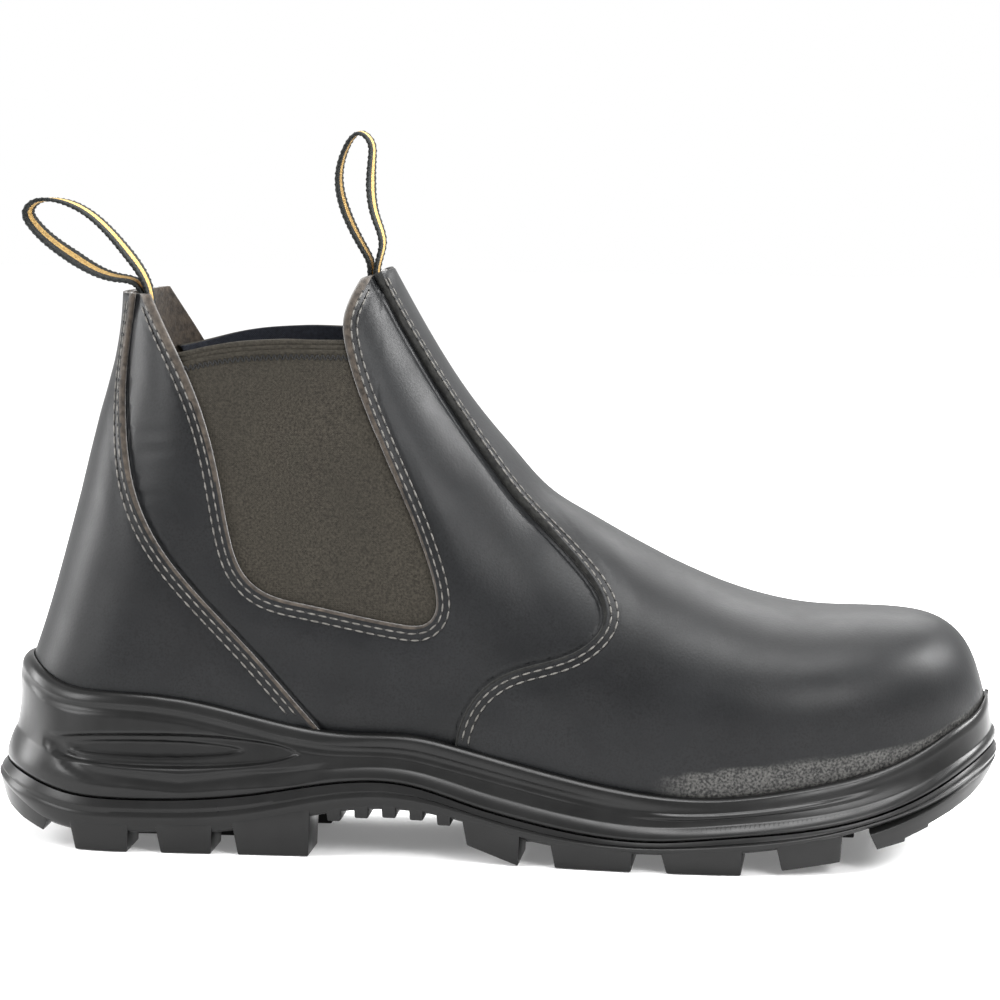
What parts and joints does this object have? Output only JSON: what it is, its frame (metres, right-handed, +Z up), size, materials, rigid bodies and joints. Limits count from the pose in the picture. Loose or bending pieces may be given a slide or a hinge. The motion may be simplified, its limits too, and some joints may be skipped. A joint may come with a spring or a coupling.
{
  "type": "side gore work boot",
  "caption": "Ankle-high pull-on work boot with elastic side gores, two webbing pull loops and a moulded lugged rubber sole; right foot.",
  "frame": {"origin": "middle of the boot's footprint on the floor", "axes": "+X from heel to toe, +Y towards the inner side of the foot, +Z up"},
  "size_m": [0.3108, 0.1143, 0.2194],
  "materials": {
    "quarter_leather": "waxed semi-matte black",
    "vamp_leather": "waxed semi-matte black",
    "counter_leather": "waxed semi-matte black",
    "elastic": "ribbed brown-black elastic",
    "footbed": "black cloth",
    "midsole_rubber": "satin black",
    "outsole_rubber": "satin black",
    "webbing": "black webbing with a gold stripe"
  },
  "bodies": {
    "root": {"upper": "quarter_leather", "vamp": "vamp_leather", "heel_counter": "counter_leather", "gore_outer": "elastic", "gore_inner": "elastic", "insole": "footbed", "midsole": "midsole_rubber", "outsole": "outsole_rubber", "pull_loop_back": "webbing", "pull_loop_front": "webbing"}
  },
  "joints": []
}
